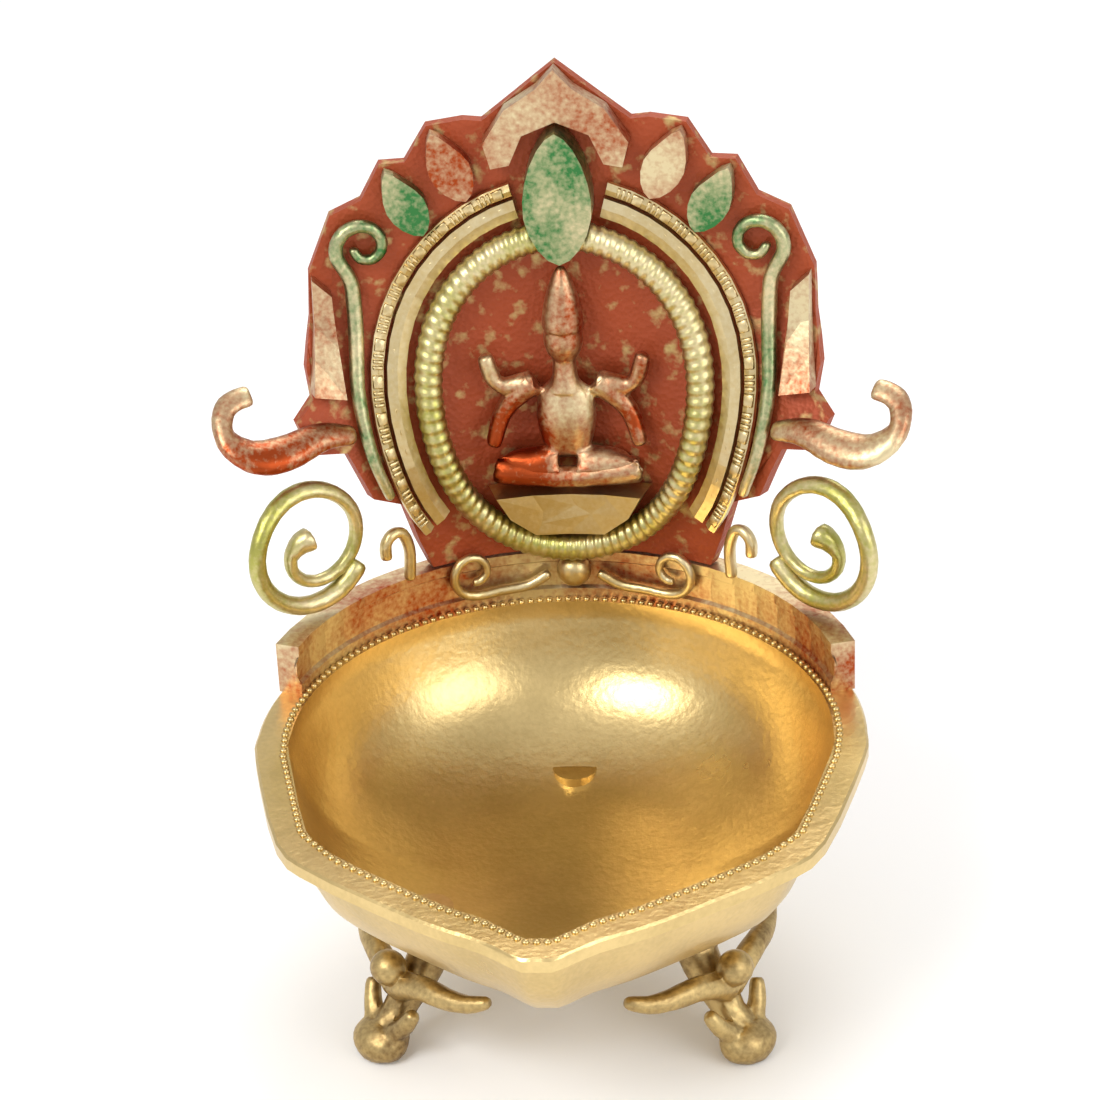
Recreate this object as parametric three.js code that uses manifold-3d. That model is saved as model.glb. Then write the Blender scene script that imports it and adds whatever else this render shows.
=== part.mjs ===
// Kamakshi oil lamp: a spouted brass bowl on three feet, with a tall ornamental back panel.
// Millimetres, +Z up, spout towards -Y. The origin is on the ground, at the middle of the lamp's box.
import * as THREE from 'three';
import { mergeVertices } from 'three/addons/utils/BufferGeometryUtils.js';
import Module from 'manifold-3d';

const wasm = await Module();
wasm.setup();
const { Manifold, Mesh: SolidMesh } = wasm;

const gap = 0.75;
const rimHeight = 62;
const bowlRadius = 65.5;
const spoutReach = 84.4;
const spoutHalfWidth = 2.9;
const rimWidth = 7.2;
const flangeThickness = 3;
const bowlDepth = 37;
const wallThickness = 2.6;
const bossRadius = 5;
const bossOffset = 35;
const bossDrop = 1;
const bossFace = rimHeight - bowlDepth - bossDrop;
const holeDepth = 4;
const screwRadius = 1.5;
const screwPlay = 0.15;
const railScrewRadius = 1.2;
const railScrewHead = 1.8;
const toeOffset = 49.5;
const footAngles = { front_left: 217, front_right: 323, back: 90 };
const railInset = 2;
const railFront = bowlRadius - rimWidth + railInset;
const railThickness = 5.4;
const railHeight = 12;
const railHalfAngle = 74;
const railScrewAngles = [45, 90, 135];
const panelInset = 0.7;
const panelBack = railFront + panelInset;
const plateThickness = 3;
const lowerBend = panelBack;
const upperBend = 230;
const bendLimit = 40;
const bendLow = 34;
const bendHigh = 84;
const ringCentre = 53.3;
const ringHalfWidth = 32.2;
const ringHalfHeight = 38.1;
const ringTube = 3.4;
const beadOffset = 7;
const beadWidth = 4.4;
const barOffset = 11.3;
const barWidth = 2.8;
const ringSteps = 48;
const tubeSides = 8;

const brass = { color: 0xb99a55, roughness: 0.34, metalness: 1 };
const oldBrass = { color: 0x8c6f3c, roughness: 0.45, metalness: 1 };
const steel = { color: 0x8f9094, roughness: 0.4, metalness: 1 };

const lamp = new THREE.Group();
lamp.name = 'kamakshi_oil_lamp';
const row = new THREE.Group();
row.name = 'row_frame';
row.position.y = (spoutReach - railFront - railThickness) / 2;
lamp.add(row);

function addPart(name, geometry, look) {
  const mesh = new THREE.Mesh(geometry, new THREE.MeshStandardMaterial(look));
  mesh.name = name;
  row.add(mesh);
}

// A closed body through a list of rings with equal point counts; each end is closed to its middle.
function loft(rings) {
  const sides = rings[0].length;
  const points = rings.flat();
  const faces = [];
  for (let i = 0; i + 1 < rings.length; i++) {
    for (let j = 0; j < sides; j++) {
      const a = i * sides + j;
      const b = i * sides + (j + 1) % sides;
      faces.push(a, b, a + sides, b, b + sides, a + sides);
    }
  }
  for (const [start, flip] of [[0, true], [(rings.length - 1) * sides, false]]) {
    const middle = new THREE.Vector3();
    for (let j = 0; j < sides; j++) middle.add(points[start + j]);
    const tip = points.push(middle.divideScalar(sides)) - 1;
    for (let j = 0; j < sides; j++) {
      const a = start + j;
      const b = start + (j + 1) % sides;
      if (flip) faces.push(b, a, tip);
      else faces.push(a, b, tip);
    }
  }
  const geometry = new THREE.BufferGeometry().setFromPoints(points);
  geometry.setIndex(faces);
  return geometry;
}

function toSolid(geometry) {
  const bare = new THREE.BufferGeometry();
  bare.setAttribute('position', geometry.getAttribute('position'));
  if (geometry.index) bare.setIndex(geometry.index);
  const welded = mergeVertices(bare, 1e-4);
  return new Manifold(new SolidMesh({
    numProp: 3,
    vertProperties: new Float32Array(welded.getAttribute('position').array),
    triVerts: new Uint32Array(welded.index.array),
  }));
}

function toGeometry(solid) {
  const mesh = solid.getMesh();
  const geometry = new THREE.BufferGeometry();
  geometry.setAttribute('position', new THREE.BufferAttribute(new Float32Array(mesh.vertProperties), 3));
  geometry.setIndex(new THREE.BufferAttribute(new Uint32Array(mesh.triVerts), 1));
  geometry.computeVertexNormals();
  return geometry;
}

function rod(radius, low, high, sides = 12) {
  const ring = z => Array.from({ length: sides }, (_, i) => {
    const turn = 2 * Math.PI * i / sides;
    return new THREE.Vector3(radius * Math.cos(turn), radius * Math.sin(turn), z);
  });
  return loft([ring(low), ring(high)]);
}

// The bend of the panel: u runs across it, v up from the rim, h out from its front face.
// The middle follows an arc round the bowl, the wings run straight on, and the top is nearly flat.
function onPanel(u, v, h) {
  const t = THREE.MathUtils.smoothstep(v, bendLow, bendHigh);
  const k = (1 - t) / lowerBend + t / upperBend;
  const across = Math.abs(u);
  const curved = Math.min(across, bendLimit);
  const turn = k * curved;
  const straight = across - curved;
  const x = Math.sin(turn) / k + straight * Math.cos(turn) - h * Math.sin(turn);
  const y = panelBack - (1 - Math.cos(turn)) / k - straight * Math.sin(turn) - h * Math.cos(turn);
  return new THREE.Vector3(Math.sign(u) * x, y, rimHeight + v);
}

// A flat piece of the panel: its outline is extruded from low to high and then bent.
function sheet(points, low, high, smooth = true, edge = 11) {
  const outline = points.map(([u, v]) => new THREE.Vector2(u, v));
  const curve = smooth ? new THREE.CatmullRomCurve3(
    outline.map(p => new THREE.Vector3(p.x, p.y, 0)), true, 'centripetal') : null;
  const drawn = curve ? curve.getPoints(outline.length * 2).slice(0, -1) : outline;
  const shape = new THREE.Shape(drawn.map(p => new THREE.Vector2(p.x, p.y)));
  const flat = new THREE.ExtrudeGeometry(shape, { depth: high - low, bevelEnabled: false });
  flat.translate(0, 0, low);
  const solid = toSolid(flat).refineToLength(edge);
  return toGeometry(solid.warp(place => {
    const bent = onPanel(place[0], place[1], place[2]);
    place[0] = bent.x;
    place[1] = bent.y;
    place[2] = bent.z;
  }));
}

// A tube along points [u, v] on the panel, with its own radius at every step.
function coil(points, radiusAt, steps, low = gap) {
  const path = new THREE.CatmullRomCurve3(points.map(([u, v]) => new THREE.Vector3(u, v, 0)));
  const rings = [];
  for (let i = 0; i <= steps; i++) {
    const t = i / steps;
    const at = path.getPointAt(t);
    const along = path.getTangentAt(t);
    const radius = radiusAt(t);
    const ring = [];
    for (let j = 0; j < tubeSides; j++) {
      const turn = 2 * Math.PI * j / tubeSides;
      const side = radius * Math.cos(turn);
      const out = low + radius * (1 + Math.sin(turn));
      ring.push(onPanel(at.x - along.y * side, at.y + along.x * side, out));
    }
    rings.push(ring);
  }
  return toGeometry(toSolid(loft(rings)));
}

// A band along part of the ellipse round the medallion, between two angles in degrees.
function arcBand(offset, width, low, high, start, end, steps) {
  const rings = [];
  for (let i = 0; i <= steps; i++) {
    const turn = THREE.MathUtils.degToRad(start + (end - start) * i / steps);
    const at = grow => [
      (ringHalfWidth + offset + grow) * Math.cos(turn),
      ringCentre + (ringHalfHeight + offset + grow) * Math.sin(turn)];
    const inner = at(-width / 2);
    const crown = at(0);
    const outer = at(width / 2);
    rings.push([
      onPanel(inner[0], inner[1], low),
      onPanel(outer[0], outer[1], low),
      onPanel(outer[0], outer[1], high - 0.6),
      onPanel(crown[0], crown[1], high),
      onPanel(inner[0], inner[1], high - 0.6)].reverse());
  }
  return toGeometry(toSolid(loft(rings)));
}

function ringTubeSolid(tube) {
  const rings = [];
  for (let i = 0; i < ringSteps; i++) {
    const turn = 2 * Math.PI * i / ringSteps;
    for (let j = 0; j < tubeSides; j++) {
      const round = 2 * Math.PI * j / tubeSides;
      const grow = tube * Math.cos(round);
      rings.push(onPanel((ringHalfWidth + grow) * Math.cos(turn),
        ringCentre + (ringHalfHeight + grow) * Math.sin(turn), gap + ringTube + tube * Math.sin(round)));
    }
  }
  const faces = [];
  for (let i = 0; i < ringSteps; i++) {
    for (let j = 0; j < tubeSides; j++) {
      const a = i * tubeSides + j;
      const b = i * tubeSides + (j + 1) % tubeSides;
      const c = ((i + 1) % ringSteps) * tubeSides + j;
      const d = ((i + 1) % ringSteps) * tubeSides + (j + 1) % tubeSides;
      faces.push(a, c, b, b, c, d);
    }
  }
  const geometry = new THREE.BufferGeometry().setFromPoints(rings);
  geometry.setIndex(faces);
  return toSolid(geometry);
}

// The bowl's plan: a circle that draws out to a flat-nosed spout at the front.
function bowlPlan(count) {
  const half = [];
  for (let turn = 90; turn > -16; turn -= 9) {
    const a = THREE.MathUtils.degToRad(turn);
    half.push([bowlRadius * Math.cos(a), bowlRadius * Math.sin(a)]);
  }
  half.push([56, -43], [47, -54], [34, -64], [21.6, -72.6], [11.6, -78], [spoutHalfWidth, -spoutReach]);
  const right = half.slice(1);
  const left = right.map(([x, y]) => [-x, y]).reverse();
  return [half[0], ...left.reverse().map(p => p), ...right.slice().reverse()]
    .map(([x, y]) => new THREE.Vector2(x, y)).slice(0, count);
}

function planRing(plan, inset, scale, z) {
  return plan.map(p => {
    const length = (p.length() - inset) * scale;
    const q = p.clone().setLength(Math.max(length, 0.5));
    return new THREE.Vector3(q.x, q.y, z);
  });
}

function bowl() {
  const plan = bowlPlan(200);
  const wallOut = rimWidth - wallThickness;
  const floor = rimHeight - bowlDepth;
  const rings = [
    planRing(plan, wallOut, 0.3, floor),
    planRing(plan, wallOut, 0.55, floor + 2.5),
    planRing(plan, wallOut, 0.78, floor + 10),
    planRing(plan, wallOut, 0.92, floor + 20),
    planRing(plan, wallOut, 1, rimHeight - flangeThickness),
    planRing(plan, 0, 1, rimHeight - flangeThickness),
    planRing(plan, 0, 1, rimHeight),
    planRing(plan, rimWidth, 1, rimHeight),
    planRing(plan, rimWidth, 1, rimHeight - flangeThickness),
    planRing(plan, rimWidth, 0.92, floor + 20),
    planRing(plan, rimWidth, 0.78, floor + 10 + wallThickness),
    planRing(plan, rimWidth, 0.55, floor + 2.5 + wallThickness),
    planRing(plan, rimWidth, 0.3, floor + wallThickness)];
  let solid = toSolid(loft(rings));
  for (const angle of Object.values(footAngles)) {
    const a = THREE.MathUtils.degToRad(angle);
    const place = [bossOffset * Math.cos(a), bossOffset * Math.sin(a), 0];
    const boss = toSolid(rod(bossRadius, bossFace, floor + 5.2)).translate(place);
    const hole = toSolid(rod(screwRadius + screwPlay, bossFace - 1, bossFace + holeDepth)).translate(place);
    solid = solid.add(boss).subtract(hole);
  }
  for (const angle of railScrewAngles) {
    const a = THREE.MathUtils.degToRad(angle);
    const r = railFront + railThickness / 2;
    const hole = toSolid(rod(railScrewRadius + screwPlay, rimHeight - 8, rimHeight + 1));
    solid = solid.subtract(hole.translate([r * Math.cos(a), r * Math.sin(a), 0]));
  }
  return toGeometry(solid);
}

function baseRail() {
  const back = railFront + railThickness;
  const section = [[railFront, 0], [back, 0], [back, railHeight], [railFront, railHeight],
    [railFront, railHeight - 2.4], [railFront + 0.8, railHeight - 3], [railFront + 0.8, 3],
    [railFront, 2.4]];
  const steps = 24;
  const rings = [];
  for (let i = 0; i <= steps; i++) {
    const a = THREE.MathUtils.degToRad(90 - railHalfAngle + 2 * railHalfAngle * i / steps);
    rings.push(section.map(([r, z]) =>
      new THREE.Vector3(r * Math.cos(a), r * Math.sin(a), rimHeight + z)));
  }
  let solid = toSolid(loft(rings.reverse()));
  for (const angle of railScrewAngles) {
    const a = THREE.MathUtils.degToRad(angle);
    const r = railFront + railThickness / 2;
    const hole = toSolid(rod(railScrewRadius + screwPlay, rimHeight - 1, rimHeight + holeDepth));
    solid = solid.subtract(hole.translate([r * Math.cos(a), r * Math.sin(a), 0]));
  }
  return toGeometry(solid);
}

function ball(radius, x, y, z, stretch = [1, 1, 1]) {
  const sphere = new THREE.SphereGeometry(radius, 10, 6);
  sphere.scale(...stretch);
  sphere.translate(x, y, z);
  return toSolid(sphere);
}

// A straight or curved limb through places [x, y, z], with a radius at each place.
function limb(places, radii, steps = 10) {
  const path = new THREE.CatmullRomCurve3(places.map(p => new THREE.Vector3(...p)));
  const frames = path.computeFrenetFrames(steps);
  const rings = [];
  for (let i = 0; i <= steps; i++) {
    const spot = i / steps * (radii.length - 1);
    const k = Math.min(Math.floor(spot), radii.length - 2);
    const radius = THREE.MathUtils.lerp(radii[k], radii[k + 1], spot - k);
    const at = path.getPointAt(i / steps);
    rings.push(Array.from({ length: tubeSides }, (_, j) => {
      const turn = 2 * Math.PI * j / tubeSides;
      return at.clone().addScaledVector(frames.normals[i], radius * Math.cos(turn))
        .addScaledVector(frames.binormals[i], radius * Math.sin(turn));
    }));
  }
  return toSolid(loft(rings));
}

// One foot, modelled with its outward side along +X and turned to its place under the bowl.
function foot(angle) {
  const top = bossFace;
  let solid = limb([[bossOffset, 0, top], [bossOffset + 2, 0, top - 6], [toeOffset - 5, 0, 9], [toeOffset, 0, 1]],
    [bossRadius, 4.6, 3.6, 5.5], 6);
  solid = solid.add(ball(6.2, toeOffset, 0, 3.2, [1, 1.15, 0.8]));
  solid = solid.add(ball(4.3, toeOffset - 3.2, 0, 20.5));
  solid = solid.add(ball(3.6, toeOffset - 6, 0, 15));
  for (const side of [-1, 1]) {
    solid = solid.add(limb([[toeOffset - 5, 0, 15], [toeOffset - 6, 10 * side, 19.5], [toeOffset - 9, 19 * side, 19],
      [toeOffset - 13, 25 * side, 21.5]], [3.4, 3, 2.6, 1.6], 5));
    solid = solid.add(limb([[toeOffset, 0, 4], [toeOffset - 2, 6 * side, 8], [toeOffset - 4, 8.5 * side, 13]],
      [2.6, 2.3, 1.8], 3));
  }
  const below = toSolid(new THREE.BoxGeometry(90, 90, 20).translate(toeOffset, 0, -10));
  const above = toSolid(new THREE.BoxGeometry(14, 14, 20).translate(bossOffset, 0, top + 10));
  const hole = toSolid(rod(screwRadius + screwPlay, top - holeDepth, top + 1)).translate([bossOffset, 0, 0]);
  return toGeometry(solid.subtract(below).subtract(above).subtract(hole).rotate([0, 0, angle]));
}

function footScrew(angle) {
  const a = THREE.MathUtils.degToRad(angle);
  const stud = rod(screwRadius, bossFace - holeDepth + 0.3, bossFace + holeDepth - 0.3);
  return stud.translate(bossOffset * Math.cos(a), bossOffset * Math.sin(a), 0);
}

function railScrew(angle) {
  const a = THREE.MathUtils.degToRad(angle);
  const r = railFront + railThickness / 2;
  const under = rimHeight - flangeThickness;
  const shank = toSolid(rod(railScrewRadius, under - 1, rimHeight + holeDepth - 0.3));
  const head = toSolid(rod(railScrewHead, under - 1.8, under));
  return toGeometry(shank.add(head).translate([r * Math.cos(a), r * Math.sin(a), 0]));
}

function mirrored(points, side) {
  const placed = points.map(([u, v]) => [side * u, v]);
  return side < 0 ? placed.reverse() : placed;
}

function backPlate() {
  const half = [[33, 12.4], [36, 20], [39, 30], [47, 34], [52, 46], [60, 47.5], [62, 54], [57.5, 58],
    [58, 64], [56, 74], [55.5, 84], [50, 97], [43, 100], [38.5, 108], [33, 108], [28, 116], [20, 117],
    [16, 116.5], [9, 122]];
  const left = half.map(([u, v]) => [-u, v]).reverse();
  return sheet([...half, [0, 129.3], ...left], -plateThickness, 0, false, 9);
}

function leafKeystone() {
  const half = [[7.6, 97], [7, 105], [4, 112.5]];
  const leaf = sheet([[0, 86], [4.6, 89.5], ...half, [0, 116.2],
    ...half.map(([u, v]) => [-u, v]).reverse(), [-4.6, 89.5]], gap, 8.4);
  return toGeometry(toSolid(leaf).subtract(ringTubeSolid(ringTube + gap)));
}

function crest() {
  const half = [[10.4, 108], [14.5, 107.3], [16, 113], [11, 120.5], [4, 125]];
  return sheet([...half, [0, 129.3], ...half.map(([u, v]) => [-u, v]).reverse(), [-7.4, 114.6], [0, 117.6],
    [7.4, 114.6]], gap, 5, false);
}

function petal(tip, foot, width, side) {
  const along = new THREE.Vector2(tip[0] - foot[0], tip[1] - foot[1]);
  const across = new THREE.Vector2(along.y, -along.x).normalize();
  const at = (t, w) => [foot[0] + along.x * t + across.x * w * width, foot[1] + along.y * t + across.y * w * width];
  return sheet(mirrored([at(0, 0), at(0.2, 0.75), at(0.5, 1), at(0.8, 0.6), at(1, 0), at(0.75, -0.6),
    at(0.45, -1), at(0.15, -0.7)], side), gap, 4.2);
}

function fernScroll(side) {
  const stem = [[43.8, 34], [47, 44], [47.9, 58], [46.6, 69], [46.2, 78]];
  const curl = [];
  for (let i = 0; i <= 12; i++) {
    const turn = THREE.MathUtils.degToRad(-60 + 35 * i);
    const radius = 7 - 4.6 * i / 12;
    curl.push([43.2 + radius * Math.cos(turn), 90 + radius * Math.sin(turn)]);
  }
  return coil([...stem, ...curl].map(([u, v]) => [side * u, v]), t => 1.3 + 0.6 * Math.sin(Math.PI * t), 26);
}

function outerFeather(side) {
  return sheet(mirrored([[51, 58.4], [58, 60], [56.4, 67], [55.4, 74], [55, 84], [51, 80], [50.8, 69]], side), gap, 4.4,
    false);
}

function horn(side) {
  const path = [[50.5, 50.5], [58, 52.2], [67, 51], [75, 51.6], [80, 56], [77.5, 61], [71.5, 62]];
  return coil(path.map(([u, v]) => [side * u, v]), t => 2 + 1.5 * Math.sin(Math.PI * Math.min(1, t * 1.1)), 14);
}

function sideLoop(side) {
  const path = [];
  for (let i = 0; i <= 22; i++) {
    const turn = THREE.MathUtils.degToRad(-150 + 27 * i);
    const shrink = THREE.MathUtils.smoothstep(i, 9, 22);
    const radius = 13.6 - 10 * shrink;
    path.push([side * (65.5 + radius * Math.cos(turn)), 28.9 + radius * Math.sin(turn)]);
  }
  return coil(path, t => 2.5 - 0.9 * Math.min(1, t * 1.2) + 2 * THREE.MathUtils.smoothstep(t, 0.93, 1), 30);
}

function innerHook(side) {
  return coil([[40.5, 12.6], [40.2, 21], [42.6, 25.6], [46, 24], [46.2, 19.5]].map(([u, v]) => [side * u, v]),
    () => 1.5, 12);
}

function cScroll(side) {
  const path = [[5.8, 7.5], [11, 4.6], [17, 4.2]];
  for (let i = 0; i <= 9; i++) {
    const turn = THREE.MathUtils.degToRad(-100 + 42 * i);
    const radius = 6 - 3.4 * i / 9;
    path.push([24 + radius * Math.cos(turn), 9.6 + radius * Math.sin(turn)]);
  }
  return coil(path.map(([u, v]) => [side * u, v]), t => 1.4 - 0.3 * t, 18, 1);
}

function lotusSeat() {
  const half = [[9, 20.6], [15.5, 25], [19, 30.6]];
  return sheet([...half, ...half.map(([u, v]) => [-u, v]).reverse()], gap, 8.5, false);
}

// The seated figure: legs crossed on the lotus, body, head, tall crown and four arms.
function goddess() {
  const y = panelBack - 5.2;
  const z = rimHeight;
  const knee = 17.5;
  let solid = ball(7.2, 0, y, z + 48.5, [1, 0.55, 1.5]);
  solid = solid.add(limb([[0, y, z + 55], [0, y, z + 59], [0, y, z + 65]], [4, 2.6, 2.8], 3));
  solid = solid.add(ball(5.2, 0, y - 0.4, z + 67.5, [0.92, 0.8, 1.12]));
  solid = solid.add(limb([[0, y, z + 70], [0, y, z + 77], [0, y, z + 84.5]], [5.2, 4.4, 1.2], 3));
  for (const side of [-1, 1]) {
    solid = solid.add(limb([[2 * side, y, z + 37], [knee * side, y - 1, z + 36.2], [4 * -side, y - 3, z + 34.4]],
      [4.6, 3.6, 2.2], 7));
    solid = solid.add(limb([[7 * side, y, z + 57], [14 * side, y, z + 50], [16.5 * side, y - 2, z + 42]],
      [3, 2.4, 1.9], 5));
    solid = solid.add(limb([[7 * side, y + 0.5, z + 57], [15 * side, y, z + 56], [17.5 * side, y - 1, z + 64]],
      [2.8, 2.2, 2], 5));
  }
  const behind = toSolid(new THREE.BoxGeometry(80, 20, 90).translate(0, panelBack - 0.6 + 8, z + 55));
  const seat = toSolid(new THREE.BoxGeometry(80, 40, 20).translate(0, y, z + 30.6 + gap - 10));
  const curved = toSolid(sheet([[-25, 25], [25, 25], [25, 92], [-25, 92]], -8, gap, false, 16));
  return toGeometry(solid.subtract(curved).subtract(seat).subtract(behind.translate([0, 3.4, 0])));
}

function centreBoss() {
  const knob = ball(4.3, 0, railFront - 1.2, rimHeight + 7.8, [1, 0.8, 1]);
  const behind = toSolid(new THREE.BoxGeometry(20, 10, 20).translate(0, railFront - gap + 5, rimHeight + 7.8));
  return toGeometry(knob.subtract(behind));
}

addPart('bowl', bowl(), brass);
addPart('base_rail', baseRail(), brass);
addPart('back_plate', backPlate(), oldBrass);
addPart('medallion_ring', toGeometry(ringTubeSolid(ringTube)), brass);
addPart('leaf_keystone', leafKeystone(), brass);
addPart('crest', crest(), brass);
addPart('lotus_seat', lotusSeat(), brass);
addPart('goddess_figure', goddess(), brass);
addPart('centre_boss', centreBoss(), brass);
for (const [word, side] of [['left', -1], ['right', 1]]) {
  const [start, end] = side > 0 ? [-38, 76] : [104, 218];
  addPart(`bead_band_${word}`, arcBand(beadOffset, beadWidth, gap, 3.2, start, end, 16), brass);
  addPart(`bar_band_${word}`, arcBand(barOffset, barWidth, gap, 2.6, start, end, 16), brass);
  addPart(`petal_upper_${word}`, petal([27.2, 115.6], [20.2, 99.8], 4.6, side), brass);
  addPart(`petal_lower_${word}`, petal([37.6, 107.4], [30, 92.4], 4.4, side), brass);
  addPart(`fern_scroll_${word}`, fernScroll(side), brass);
  addPart(`outer_feather_${word}`, outerFeather(side), brass);
  addPart(`horn_${word}`, horn(side), brass);
  addPart(`side_loop_${word}`, sideLoop(side), brass);
  addPart(`inner_hook_${word}`, innerHook(side), brass);
  addPart(`c_scroll_${word}`, cScroll(side), brass);
}
for (const [word, angle] of Object.entries(footAngles)) {
  addPart(`foot_${word}`, foot(angle), oldBrass);
  addPart(`foot_screw_${word}`, footScrew(angle), steel);
}
railScrewAngles.forEach((angle, i) => addPart(`rail_screw_${i + 1}`, railScrew(angle), steel));

export default lamp;
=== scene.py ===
import math

import bmesh
import bpy
from mathutils import Matrix, Vector


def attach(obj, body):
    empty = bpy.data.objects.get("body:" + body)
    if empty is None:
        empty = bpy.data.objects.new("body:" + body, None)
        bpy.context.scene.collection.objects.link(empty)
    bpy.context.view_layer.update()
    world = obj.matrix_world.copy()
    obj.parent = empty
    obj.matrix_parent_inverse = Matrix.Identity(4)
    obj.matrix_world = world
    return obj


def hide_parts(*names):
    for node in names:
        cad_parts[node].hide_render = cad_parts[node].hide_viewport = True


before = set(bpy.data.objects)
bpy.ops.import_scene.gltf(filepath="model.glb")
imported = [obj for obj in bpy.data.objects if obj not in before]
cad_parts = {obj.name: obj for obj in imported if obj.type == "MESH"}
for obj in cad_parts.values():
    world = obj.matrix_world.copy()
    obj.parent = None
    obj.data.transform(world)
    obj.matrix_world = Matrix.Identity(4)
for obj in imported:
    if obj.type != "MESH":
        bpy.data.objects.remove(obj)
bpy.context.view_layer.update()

mm = 0.001
# Socket numbers of Blender's own nodes.
objectCoordinates = 3
mixSocket = {"factor": 0, "first": 6, "second": 7, "result": 2}

# Where the panel stands and how it bends, as in the CAD, in millimetres.
panel = {"rim": 62, "middle": 61, "shift": 9.35, "lowerBend": 61, "upperBend": 230,
         "bendLimit": 40, "bendLow": 34, "bendHigh": 84}
medallion = {"centre": 53.3, "halfWidth": 32.2, "halfHeight": 38.1, "tube": 3.4}


def smooth(value, low, high):
    t = min(max((value - low) / (high - low), 0), 1)
    return t * t * (3 - 2 * t)


def onPanel(u, v, h):
    t = smooth(v, panel["bendLow"], panel["bendHigh"])
    k = (1 - t) / panel["lowerBend"] + t / panel["upperBend"]
    across = abs(u)
    curved = min(across, panel["bendLimit"])
    turn = k * curved
    straight = across - curved
    x = math.sin(turn) / k + straight * math.cos(turn) - h * math.sin(turn)
    y = panel["middle"] - (1 - math.cos(turn)) / k - straight * math.sin(turn) - h * math.cos(turn)
    return Vector((math.copysign(x, u), y + panel["shift"], panel["rim"] + v)) * mm


class Value:
    # A shader socket that adds Math nodes when it is used in an expression.
    def __init__(self, tree, socket):
        self.tree = tree
        self.socket = socket

    def do(self, operation, *others):
        return self.tree.add("ShaderNodeMath", {"operation": operation}, self, *others)

    def __add__(self, other):
        return self.do("ADD", other)

    def __mul__(self, other):
        return self.do("MULTIPLY", other)

    __radd__ = __add__
    __rmul__ = __mul__


class Material:
    def __init__(self, name):
        self.material = bpy.data.materials.new(name)
        self.material.use_nodes = True
        self.nodes = self.material.node_tree.nodes
        self.links = self.material.node_tree.links
        self.shader = self.nodes["Principled BSDF"]

    def add(self, kind, settings, *inputs, out=0, **named):
        node = self.nodes.new(kind)
        for key, value in settings.items():
            if key == "stops":
                ramp = node.color_ramp
                while len(ramp.elements) < len(value):
                    ramp.elements.new(0.5)
                for element, (place, colour) in zip(ramp.elements, value):
                    element.position = place
                    element.color = (*colour, 1)
            else:
                setattr(node, key, value)
        for i, value in enumerate(inputs):
            self.feed(node.inputs[i], value)
        for key, value in named.items():
            self.feed(node.inputs[key.replace("_", " ")], value)
        return Value(self, node.outputs[out])

    def feed(self, socket, value):
        if isinstance(value, Value):
            self.links.new(value.socket, socket)
        elif isinstance(value, tuple) and len(value) == 3 and socket.type == "RGBA":
            socket.default_value = (*value, 1)
        else:
            socket.default_value = value

    def blend(self, mask, first, second):
        node = self.nodes.new("ShaderNodeMix")
        node.data_type = "RGBA"
        self.feed(node.inputs[mixSocket["factor"]], mask)
        self.feed(node.inputs[mixSocket["first"]], first)
        self.feed(node.inputs[mixSocket["second"]], second)
        return Value(self, node.outputs[mixSocket["result"]])

    def stops(self, low, high, mask):
        # Black up to low, white from high.
        return self.add("ShaderNodeValToRGB", {"stops": [(low, (0, 0, 0)), (high, (1, 1, 1))]}, mask)

    def finish(self, colour, rough, metal, height=None, strength=0.2, depth=0.4 * mm):
        self.feed(self.shader.inputs["Base Color"], colour)
        self.feed(self.shader.inputs["Roughness"], rough)
        self.feed(self.shader.inputs["Metallic"], metal)
        if height is not None:
            bump = self.add("ShaderNodeBump", {}, Height=height, Strength=strength, Distance=depth)
            self.feed(self.shader.inputs["Normal"], bump)
        return self.material


def wornBrass(name, bright, dark, rough):
    # Satin brass, darker in its pores and softly scratched.
    grain = {"broad": 45.0, "fine": 900.0, "pores": 420.0, "from": 0.38, "to": 0.62, "roughSpread": 0.12,
             "bump": 0.25}
    m = Material(name)
    place = m.add("ShaderNodeTexCoord", {}, out=objectCoordinates)
    broad = m.add("ShaderNodeTexNoise", {}, Vector=place, Scale=grain["broad"], Detail=4.0)
    fine = m.add("ShaderNodeTexNoise", {}, Vector=place, Scale=grain["fine"], Detail=3.0)
    pores = m.add("ShaderNodeTexVoronoi", {}, Vector=place, Scale=grain["pores"])
    mask = m.stops(grain["from"], grain["to"], broad * 0.7 + fine * 0.3)
    colour = m.blend(mask, dark, bright)
    height = fine * 0.6 + pores * 0.4
    return m.finish(colour, rough + grain["roughSpread"] * broad, 1.0, height, grain["bump"])


def lacquered(name, tint, bright):
    # Lacquer lies in the low places; the brass shows through where it is rubbed.
    coat = {"spots": 260.0, "stipple": 900.0, "from": 0.56, "to": 0.74, "leastMetal": 0.35, "rough": 0.42,
            "roughSpread": 0.2, "bump": 0.35}
    m = Material(name)
    place = m.add("ShaderNodeTexCoord", {}, out=objectCoordinates)
    spots = m.add("ShaderNodeTexNoise", {}, Vector=place, Scale=coat["spots"], Detail=5.0)
    stipple = m.add("ShaderNodeTexVoronoi", {}, Vector=place, Scale=coat["stipple"])
    rubbed = m.stops(coat["from"], coat["to"], spots)
    colour = m.blend(rubbed, tint, bright)
    metal = coat["leastMetal"] + (1 - coat["leastMetal"]) * rubbed
    return m.finish(colour, coat["rough"] + coat["roughSpread"] * spots, metal, stipple, coat["bump"])


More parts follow.
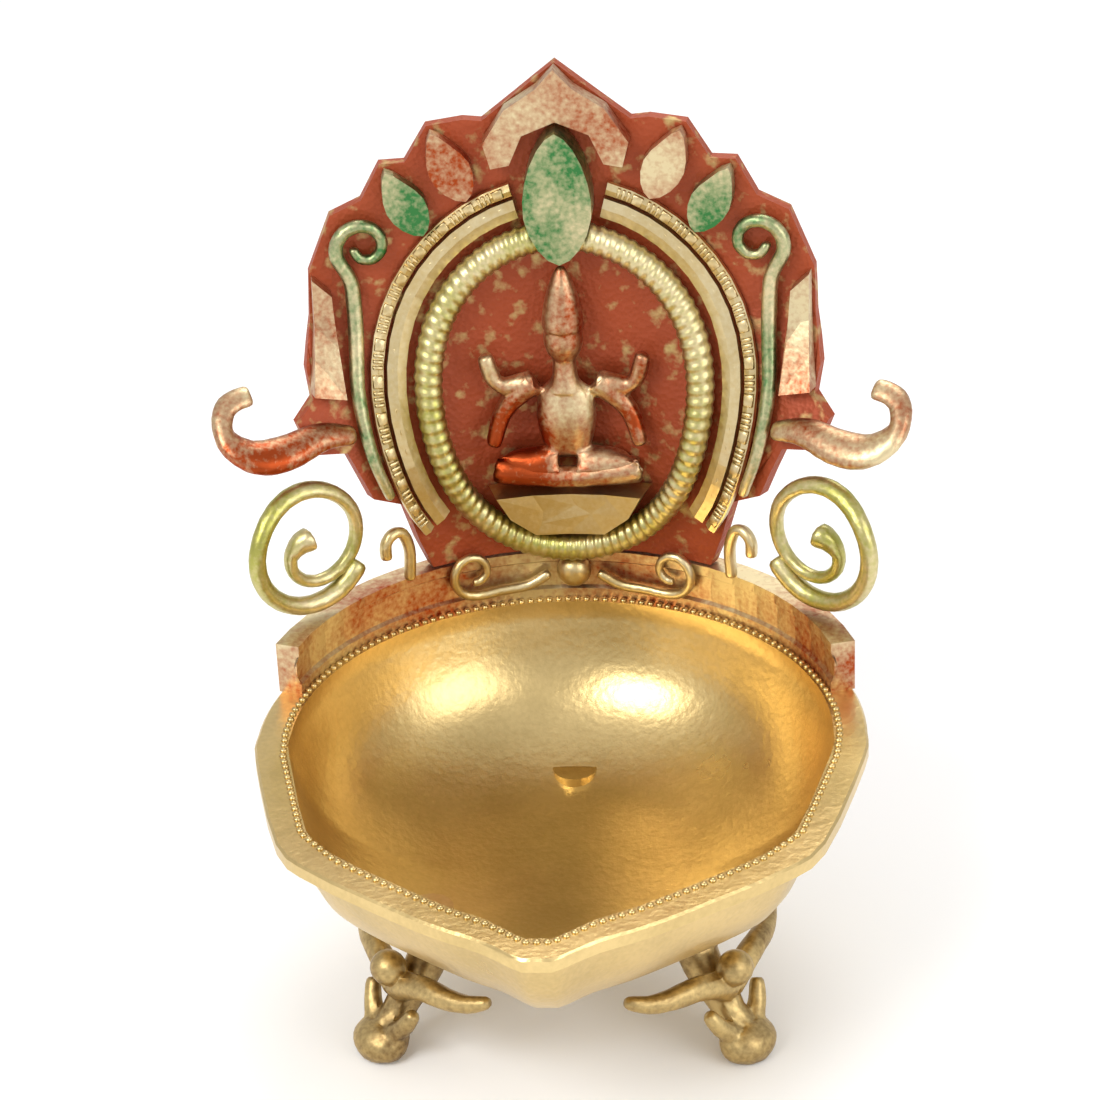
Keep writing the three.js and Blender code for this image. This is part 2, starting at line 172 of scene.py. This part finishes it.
colours = {
    "pale": (0.72, 0.60, 0.36), "warm": (0.60, 0.44, 0.19), "golden": (0.74, 0.55, 0.25),
    "umber": (0.20, 0.12, 0.05), "red": (0.36, 0.06, 0.015), "green": (0.05, 0.20, 0.06),
    "lime": (0.42, 0.40, 0.10), "steel": (0.5, 0.5, 0.5), "shadow": (0.3, 0.3, 0.3)}
pale = wornBrass("paleBrass", colours["pale"], colours["warm"], 0.3)
golden = wornBrass("goldenBrass", colours["golden"], colours["warm"], 0.24)
antique = wornBrass("antiqueBrass", colours["warm"], colours["umber"], 0.36)
plain = wornBrass("screwSteel", colours["steel"], colours["shadow"], 0.35)
redLacquer = lacquered("redLacquer", colours["red"], colours["warm"])
redBrass = wornBrass("redBrass", colours["pale"], colours["red"], 0.34)
greenBrass = wornBrass("greenBrass", colours["pale"], colours["green"], 0.34)
limeBrass = wornBrass("limeBrass", colours["pale"], colours["lime"], 0.32)
print("materials made")

looks = {
    "bowl": golden, "base_rail": redBrass, "back_plate": redLacquer, "leaf_keystone": greenBrass,
    "crest": redBrass, "petal_upper": redBrass, "petal_lower": greenBrass, "fern_scroll": greenBrass,
    "outer_feather": redBrass, "horn": redBrass, "goddess": redBrass, "side_loop": limeBrass,
    "foot_screw": plain, "rail_screw": plain, "foot": antique}


def lookOf(name):
    for prefix in sorted(looks, key=len, reverse=True):
        if name.startswith(prefix):
            return looks[prefix]
    return pale


for name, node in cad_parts.items():
    node.data.materials.clear()
    node.data.materials.append(lookOf(name))
print("CAD nodes dressed")


def walls(first, rings, size):
    # The faces between stacked rings of points that start at vertex first.
    faces = []
    for i in range(rings - 1):
        for j in range(size):
            a = first + i * size + j
            b = first + i * size + (j + 1) % size
            faces.append((a, b, b + size, a + size))
    return faces


def lids(first, rings, size):
    # The bottom and the top of such a stack.
    top = first + (rings - 1) * size
    return [tuple(range(first + size - 1, first - 1, -1)), tuple(range(top, top + size))]


def makePiece(name, vertices, faces, material, replaced=(), sharp=None):
    mesh = bpy.data.meshes.new(name)
    mesh.from_pydata(vertices, [], faces)
    work = bmesh.new()
    work.from_mesh(mesh)
    bmesh.ops.remove_doubles(work, verts=work.verts, dist=1e-7)
    bmesh.ops.recalc_face_normals(work, faces=work.faces)
    work.to_mesh(mesh)
    work.free()
    mesh.polygons.foreach_set("use_smooth", [True] * len(mesh.polygons))
    mesh.materials.append(material)
    if sharp:
        mesh.set_sharp_from_angle(angle=math.radians(sharp))
    piece = bpy.data.objects.new(name, mesh)
    bpy.context.scene.collection.objects.link(piece)
    if replaced:
        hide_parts(*replaced)
    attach(piece, "root")
    print(f"{name} made")
    return piece


def ringPoint(turn, grow, out):
    return onPanel((medallion["halfWidth"] + grow) * math.cos(turn),
                   medallion["centre"] + (medallion["halfHeight"] + grow) * math.sin(turn), out)


def bandSpan(side):
    # Where the bands begin and end, in degrees round the medallion; the keystone parts them at the top.
    return (-36, 74) if side > 0 else (106, 216)


def medallionRope():
    # The fat ring with its cross ribs, each a low swell round the tube.
    rope = {"ribs": 90, "steps": 6, "sides": 20, "low": 0.75, "swell": 0.35}
    around = rope["ribs"] * rope["steps"]
    vertices = []
    for i in range(around):
        phase = 2 * math.pi * (i % rope["steps"]) / rope["steps"]
        radius = medallion["tube"] - rope["swell"] * (0.5 + 0.5 * math.cos(phase))
        for j in range(rope["sides"]):
            side = 2 * math.pi * j / rope["sides"]
            vertices.append(ringPoint(2 * math.pi * i / around, radius * math.cos(side),
                                      rope["low"] + medallion["tube"] + radius * math.sin(side)))
    faces = []
    for i in range(around):
        for j in range(rope["sides"]):
            a = i * rope["sides"] + j
            b = i * rope["sides"] + (j + 1) % rope["sides"]
            c = ((i + 1) % around) * rope["sides"] + (j + 1) % rope["sides"]
            d = ((i + 1) % around) * rope["sides"] + j
            faces.append((a, b, c, d))
    makePiece("medallionRope", vertices, faces, limeBrass, ["medallion_ring"])


def squareBeads(side, words):
    # Square beads along the band, each with a raised ring and a dot.
    bead = {"offset": 7, "half": 1.75, "low": 0.75, "top": 2.2, "count": 20, "sides": 12, "bevel": 0.86,
            "ring": 1.25, "dot": 0.5, "face": 2.55, "ringTop": 2.95, "hollow": 2.5, "dotTop": 2.9}
    start, end = bandSpan(side)
    vertices, faces = [], []
    # Reach from the bead's middle, height over the plate, and whether the outline is square.
    levels = [(bead["half"], bead["low"], True), (bead["half"], bead["top"], True),
              (bead["half"] * bead["bevel"], bead["face"], True), (bead["ring"], bead["face"], False),
              (bead["ring"] - 0.15, bead["ringTop"], False), (bead["ring"] - 0.45, bead["ringTop"], False),
              (bead["ring"] - 0.5, bead["hollow"], False), (bead["dot"], bead["hollow"], False),
              (bead["dot"] * 0.6, bead["dotTop"], False)]
    for n in range(bead["count"]):
        turn = math.radians(start + (end - start) * (n + 0.5) / bead["count"])
        first = len(vertices)
        for reach, out, square in levels:
            for j in range(bead["sides"]):
                angle = 2 * math.pi * (j + 0.5) / bead["sides"]
                along, across = math.cos(angle), math.sin(angle)
                if square:
                    stretch = 1 / max(abs(along), abs(across))
                    along, across = along * stretch, across * stretch
                spread = along * reach / (medallion["halfHeight"] + bead["offset"])
                vertices.append(ringPoint(turn + spread, bead["offset"] + across * reach, out))
        faces += walls(first, len(levels), bead["sides"])
        faces += lids(first, len(levels), bead["sides"])
    makePiece(f"squareBeads_{words}", vertices, faces, pale)


def barBlocks(side, words):
    # Long bars that alternate with three short ribs, standing on the outer band.
    # Places and lengths along the band are shares of one group of a bar and its ribs.
    bar = {"offset": 11.3, "half": 1.1, "low": 1.9, "top": 3.0, "bevel": 0.2, "groups": 12, "spot": 0.2,
           "reach": 0.17, "ribReach": 0.045, "ribs": (0.5, 0.66, 0.82)}
    corners = ((-1, -1), (1, -1), (1, 1), (-1, 1))
    levels = ((bar["low"], 1), (bar["top"] - bar["bevel"], 1), (bar["top"], 1 - bar["bevel"]))
    start, end = bandSpan(side)
    step = (end - start) / bar["groups"]
    blocks = [(bar["spot"], bar["reach"])] + [(spot, bar["ribReach"]) for spot in bar["ribs"]]
    vertices, faces = [], []
    for n in range(bar["groups"]):
        for spot, reach in blocks:
            first = len(vertices)
            for out, shrink in levels:
                for along, across in corners:
                    turn = math.radians(start + step * (n + spot + along * reach * shrink))
                    vertices.append(ringPoint(turn, bar["offset"] + across * bar["half"] * shrink, out))
            faces += walls(first, len(levels), len(corners))
            faces += lids(first, len(levels), len(corners))
    makePiece(f"barBlocks_{words}", vertices, faces, pale)


def rimLoop():
    # The inner edge of the bowl's flat rim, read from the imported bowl, as points in turn order.
    rim = {"z": 62 * mm, "flat": 0.01 * mm, "holeRing": 63 * mm, "hole": 1.6 * mm,
           "holeTurns": (45, 90, 135)}
    turns = [math.radians(turn) for turn in rim["holeTurns"]]
    holes = [rim["holeRing"] * Vector((math.cos(turn), math.sin(turn))) for turn in turns]
    middle = Vector((0, panel["shift"] * mm))
    pairs = {}
    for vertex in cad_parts["bowl"].data.vertices:
        if abs(vertex.co.z - rim["z"]) > rim["flat"]:
            continue
        p = vertex.co.to_2d() - middle
        if any((p - hole).length < rim["hole"] for hole in holes):
            continue
        pairs.setdefault(round(math.atan2(p.y, p.x), 3), []).append(p)
    found = [pairs[turn] for turn in sorted(pairs) if len(pairs[turn]) > 1]
    return [min(points, key=lambda p: p.length) for points in found], middle, rim["z"]


def between(values, t):
    # A Catmull-Rom curve through values, at t counted in values.
    i = min(int(t), len(values) - 2)
    f = t - i
    a, b, c, d = (values[min(max(k, 0), len(values) - 1)] for k in (i - 1, i, i + 1, i + 2))
    square = 2 * a - 5 * b + 4 * c - d
    cube = 3 * b - a - 3 * c + d
    return 0.5 * (2 * b + (c - a) * f + square * f * f + cube * f ** 3)


def smoothBowl():
    # The bowl with a round wall: the CAD's levels, joined by curves instead of straight bands.
    wall = {"inset": 4.6 * mm, "width": 7.2 * mm, "thickness": 2.6 * mm, "flange": 3 * mm,
            "edge": 0.5 * mm, "steps": 5, "round": 3}
    # Share of the rim's plan, and height in millimetres.
    levels = [(0.02, 24.8), (0.3, 25.0), (0.55, 27.5), (0.78, 35.0), (0.92, 45.0), (1.0, 59.0)]
    loop, middle, z = rimLoop()
    wide = [p * (1 + wall["width"] / p.length) for p in loop]
    count = len(wide)
    plan = []
    for i in range(count):
        plan.append(wide[i])
        for k in range(1, wall["round"]):
            nearby = [wide[(i + j) % count] for j in (-1, 0, 1, 2)]
            plan.append(between(nearby, 1 + k / wall["round"]))
    nose = min(p.y for p in wide)
    for p in plan:
        p.y = max(p.y, nose)
    rings = []

    def ring(inset, scale, height):
        rings.append([(*((p - p.normalized() * inset) * scale + middle), height) for p in plan])

    along = [n / wall["steps"] for n in range((len(levels) - 1) * wall["steps"] + 1)]
    scales, heights = zip(*levels)
    profile = [(between(scales, t), between(heights, t) * mm) for t in along]
    for scale, height in profile:
        ring(wall["inset"], scale, height)
    ring(0, 1, z - wall["flange"])
    ring(0, 1, z - wall["edge"])
    ring(wall["edge"], 1, z)
    ring(wall["width"], 1, z)
    for scale, height in reversed(profile):
        # The floor is as thick as the wall, which hangs straight from the rim.
        floor = height + wall["thickness"] * (1 - scale ** 6)
        ring(wall["width"], scale, min(floor, z - wall["edge"]))
    size = len(plan)
    vertices = [v for found in rings for v in found]
    faces = walls(0, len(rings), size) + lids(0, len(rings), size)
    makePiece("roundBowl", vertices, faces, golden, ["bowl"], sharp=40)


def rimBeads():
    # A row of low domes along the inner edge of the rim.
    dome = {"pitch": 2.1 * mm, "radius": 0.85 * mm, "inset": 1.3 * mm, "height": 0.7 * mm, "sides": 8,
            "sunk": 0.1 * mm, "shoulder": 0.85, "shoulderHeight": 0.55}
    levels = ((1, -dome["sunk"]), (dome["shoulder"], dome["shoulderHeight"] * dome["height"]))
    sides = dome["sides"]
    loop, middle, z = rimLoop()
    vertices, faces = [], []
    rest = 0.0
    for start, end in zip(loop, loop[1:] + loop[:1]):
        length = (end - start).length
        place = rest
        while place < length:
            p = start.lerp(end, place / length)
            p = p * (1 + dome["inset"] / p.length) + middle
            first = len(vertices)
            for shrink, rise in levels:
                for j in range(sides):
                    a = 2 * math.pi * j / sides
                    vertices.append((p.x + dome["radius"] * shrink * math.cos(a),
                                     p.y + dome["radius"] * shrink * math.sin(a), z + rise))
            vertices.append((p.x, p.y, z + dome["height"]))
            bottom, top = lids(first, len(levels), sides)
            faces += walls(first, len(levels), sides)
            faces += [(top[j], top[(j + 1) % sides], first + 2 * sides) for j in range(sides)]
            faces.append(bottom)
            place += dome["pitch"]
        rest = place - length
    makePiece("rimBeads", vertices, faces, golden)


def roundCopies():
    # The CAD's tubes and cast forms again, with their facets rounded.
    forms = ("fern_scroll", "side_loop", "inner_hook", "horn", "c_scroll", "goddess", "centre_boss",
             "foot_front", "foot_back")
    for name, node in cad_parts.items():
        if not name.startswith(forms):
            continue
        vertices = [vertex.co.copy() for vertex in node.data.vertices]
        faces = [tuple(face.vertices) for face in node.data.polygons]
        piece = makePiece(f"round_{name}", vertices, faces, lookOf(name), [name])
        rounding = piece.modifiers.new("rounding", "SUBSURF")
        rounding.levels = rounding.render_levels = 1


def bosses():
    # The bosses under the bowl that the feet are screwed to.
    boss = {"turns": (90, 217, 323), "reach": 35, "radius": 5, "levels": (24, 31.5), "sides": 32}
    vertices, faces = [], []
    for turn in map(math.radians, boss["turns"]):
        first = len(vertices)
        middle = Vector((boss["reach"] * math.cos(turn), boss["reach"] * math.sin(turn) + panel["shift"]))
        for z in boss["levels"]:
            for j in range(boss["sides"]):
                a = 2 * math.pi * j / boss["sides"]
                vertices.append(((middle.x + boss["radius"] * math.cos(a)) * mm,
                                 (middle.y + boss["radius"] * math.sin(a)) * mm, z * mm))
        faces += walls(first, len(boss["levels"]), boss["sides"])
        faces += lids(first, len(boss["levels"]), boss["sides"])
    makePiece("bowlBosses", vertices, faces, golden, sharp=40)


roundCopies()
medallionRope()
for side, words in ((-1, "left"), (1, "right")):
    squareBeads(side, words)
for side, words in ((-1, "left"), (1, "right")):
    barBlocks(side, words)
rimBeads()
smoothBowl()
bosses()


def stage():
    # A pale floor, an even sky and three soft lights; places in metres, powers in watts.
    room = {"floor": 6, "drop": 0.2 * mm, "sky": 0.75, "aim": (0, 0, 0.1)}
    lamps = {"key": {"place": (-0.5, -0.6, 0.8), "size": 0.5, "power": 6},
             "fill": {"place": (0.7, -0.5, 0.5), "size": 0.6, "power": 3},
             "rear": {"place": (0.1, 0.6, 0.9), "size": 0.5, "power": 3}}
    cloth = Material("paleFloor")
    speck = cloth.add("ShaderNodeTexNoise", {}, Scale=8.0)
    cloth.finish(cloth.blend(speck, (0.93, 0.93, 0.93), (0.96, 0.96, 0.96)), 0.9, 0.0)
    bpy.ops.mesh.primitive_plane_add(size=room["floor"], location=(0, 0, -room["drop"]))
    floor = bpy.context.object
    floor.name = "floor"
    floor.data.materials.append(cloth.material)
    world = bpy.data.worlds.new("studio")
    bpy.context.scene.world = world
    world.use_nodes = True
    sky = world.node_tree.nodes["Background"]
    sky.inputs["Color"].default_value = (1, 1, 1, 1)
    sky.inputs["Strength"].default_value = room["sky"]
    for name, lamp in lamps.items():
        light = bpy.data.lights.new(name, "AREA")
        light.size = lamp["size"]
        light.energy = lamp["power"]
        holder = bpy.data.objects.new(name, light)
        holder.location = lamp["place"]
        away = Vector(room["aim"]) - Vector(lamp["place"])
        holder.rotation_euler = away.to_track_quat("-Z", "Y").to_euler()
        bpy.context.scene.collection.objects.link(holder)


def camera():
    # Where the photograph was taken from, in degrees and metres.
    # The lens and the sensor are in millimetres.
    shot = {"azimuth": 4.64, "elevation": 27.92, "roll": -2.63, "distance": 0.7,
            "target": (-0.00054, 0.00935, 0.10638), "lens": 110.0, "sensor": 36}
    a, e, r = (math.radians(shot[key]) for key in ("azimuth", "elevation", "roll"))
    back = Vector((math.sin(a) * math.cos(e), -math.cos(a) * math.cos(e), math.sin(e)))
    right = Vector((math.cos(a), math.sin(a), 0))
    up = back.cross(right)
    first = right * math.cos(r) + up * math.sin(r)
    second = up * math.cos(r) - right * math.sin(r)
    data = bpy.data.cameras.new("camera")
    data.lens = shot["lens"]
    data.sensor_width = shot["sensor"]
    holder = bpy.data.objects.new("camera", data)
    turn = Matrix((first, second, back)).transposed().to_4x4()
    holder.matrix_world = Matrix.Translation(Vector(shot["target"]) + back * shot["distance"]) @ turn
    bpy.context.scene.collection.objects.link(holder)
    bpy.context.scene.camera = holder


stage()
camera()
bpy.context.scene.view_settings.view_transform = "Standard"
print("stage and camera set")
